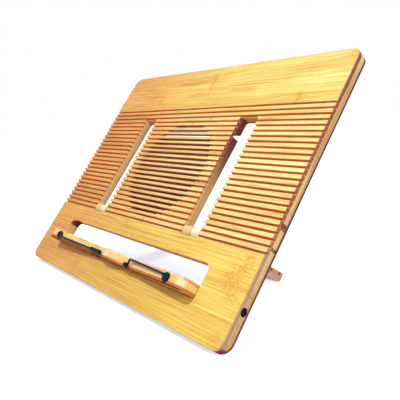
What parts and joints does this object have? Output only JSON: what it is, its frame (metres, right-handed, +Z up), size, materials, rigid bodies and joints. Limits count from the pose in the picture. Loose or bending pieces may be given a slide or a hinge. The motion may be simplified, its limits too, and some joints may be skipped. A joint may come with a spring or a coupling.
{
  "type": "reading stand",
  "caption": "Folding bamboo reading stand: a grooved panel leans back on two legs, with a hinged book ledge and swinging wire page clips.",
  "frame": {"origin": "on the desk, at the middle of the opened stand's bounding box", "axes": "+X to the reader's right along the ledge, -Y towards the reader, +Z up from the desk"},
  "size_m": [0.32, 0.1638, 0.2022],
  "materials": {
    "bamboo_face": "lacquered bamboo, satin",
    "bamboo_core": "bare bamboo ply edge",
    "bamboo_back": "darker bamboo back ply",
    "bamboo_under": "lacquered bamboo, satin",
    "bamboo_top": "lacquered bamboo, satin",
    "bamboo_leg": "bare bamboo, satin",
    "crossbar": "turned bamboo dowel",
    "dark_peg": "dark end grain",
    "black_pin": "black, matt",
    "steel_pin": "plain steel",
    "black_wire": "black, satin",
    "sleeve": "near-black, satin"
  },
  "bodies": {
    "board": {"board_front_ply": "bamboo_face", "board_core_ply": "bamboo_core", "board_back_ply": "bamboo_back", "ledge_pin_left": "black_pin", "ledge_pin_right": "black_pin", "leg_pin_left": "steel_pin", "leg_pin_right": "steel_pin"},
    "ledge": {"ledge_front_ply": "bamboo_under", "ledge_core_ply": "bamboo_core", "ledge_back_ply": "bamboo_top", "clip_screw_left": "black_wire", "clip_screw_right": "black_wire"},
    "clip_left": {"clip_disc_left": "black_wire", "clip_wire_left": "black_wire", "clip_sleeve_left": "sleeve"},
    "clip_right": {"clip_disc_right": "black_wire", "clip_wire_right": "black_wire", "clip_sleeve_right": "sleeve"},
    "leg_frame": {"leg_left": "bamboo_leg", "leg_right": "bamboo_leg", "leg_crossbar": "crossbar", "leg_pegs_left": "dark_peg", "leg_pegs_right": "dark_peg"}
  },
  "joints": [
    {"name": "ledge_hinge", "type": "hinge", "parent": "board", "child": "ledge", "pos_m": [0, -0.0592, 0.02721], "axis": [-1, 0, 0], "range_deg": [0, 90]},
    {"name": "leg_hinge", "type": "hinge", "parent": "board", "child": "leg_frame", "pos_m": [0, -0.03177, 0.06167], "axis": [1, 0, 0], "range_deg": [0, 84]},
    {"name": "clip_left_hinge", "type": "hinge", "parent": "ledge", "child": "clip_left", "pos_m": [-0.0945, -0.07393, 0.03893], "axis": [0.1131, -0.7773, 0.6189], "range_deg": [-20, 110]},
    {"name": "clip_right_hinge", "type": "hinge", "parent": "ledge", "child": "clip_right", "pos_m": [0.0945, -0.07393, 0.03893], "axis": [0.1131, 0.7773, -0.6189], "range_deg": [-20, 110]}
  ]
}
